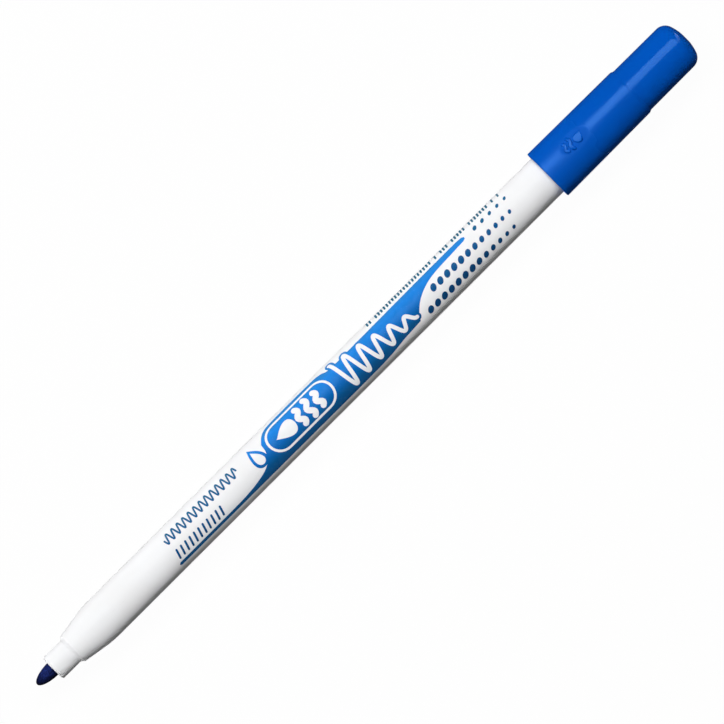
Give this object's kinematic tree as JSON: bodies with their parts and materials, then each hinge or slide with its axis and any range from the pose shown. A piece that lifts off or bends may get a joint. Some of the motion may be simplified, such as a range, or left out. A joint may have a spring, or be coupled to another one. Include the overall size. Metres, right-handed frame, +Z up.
{
  "type": "felt tip marker",
  "caption": "Slim felt tip marker, posted: white barrel with a bullet fibre nib and inner reservoir, and a stepped, domed push-on cap on its tail.",
  "frame": {"origin": "centre of the bounding box's underside: below the marker's middle, on the plane it lies on", "axes": "+X along the marker from the nib to the posted cap, +Z up out of the printed side"},
  "size_m": [0.1704, 0.0108, 0.0108],
  "materials": {
    "barrel_plastic": "moulded white polypropylene, satin gloss, printed",
    "nib_fibre": "bonded fibre soaked with blue ink",
    "core_fibre": "open fibre soaked with blue ink",
    "wrap_film": "thin clear film",
    "plug_plastic": "moulded white polypropylene",
    "cap_plastic": "moulded blue polypropylene, satin gloss",
    "liner_plastic": "moulded blue polyethylene"
  },
  "bodies": {
    "body": {"barrel": "barrel_plastic", "nib": "nib_fibre", "reservoir_core": "core_fibre", "reservoir_wrap": "wrap_film", "end_plug": "plug_plastic"},
    "cap": {"cap_shell": "cap_plastic", "cap_liner": "liner_plastic"}
  },
  "joints": [
    {"name": "cap_slide", "type": "slide", "parent": "body", "child": "cap", "axis": [1, 0, 0], "range_m": [0, 0.045]}
  ]
}
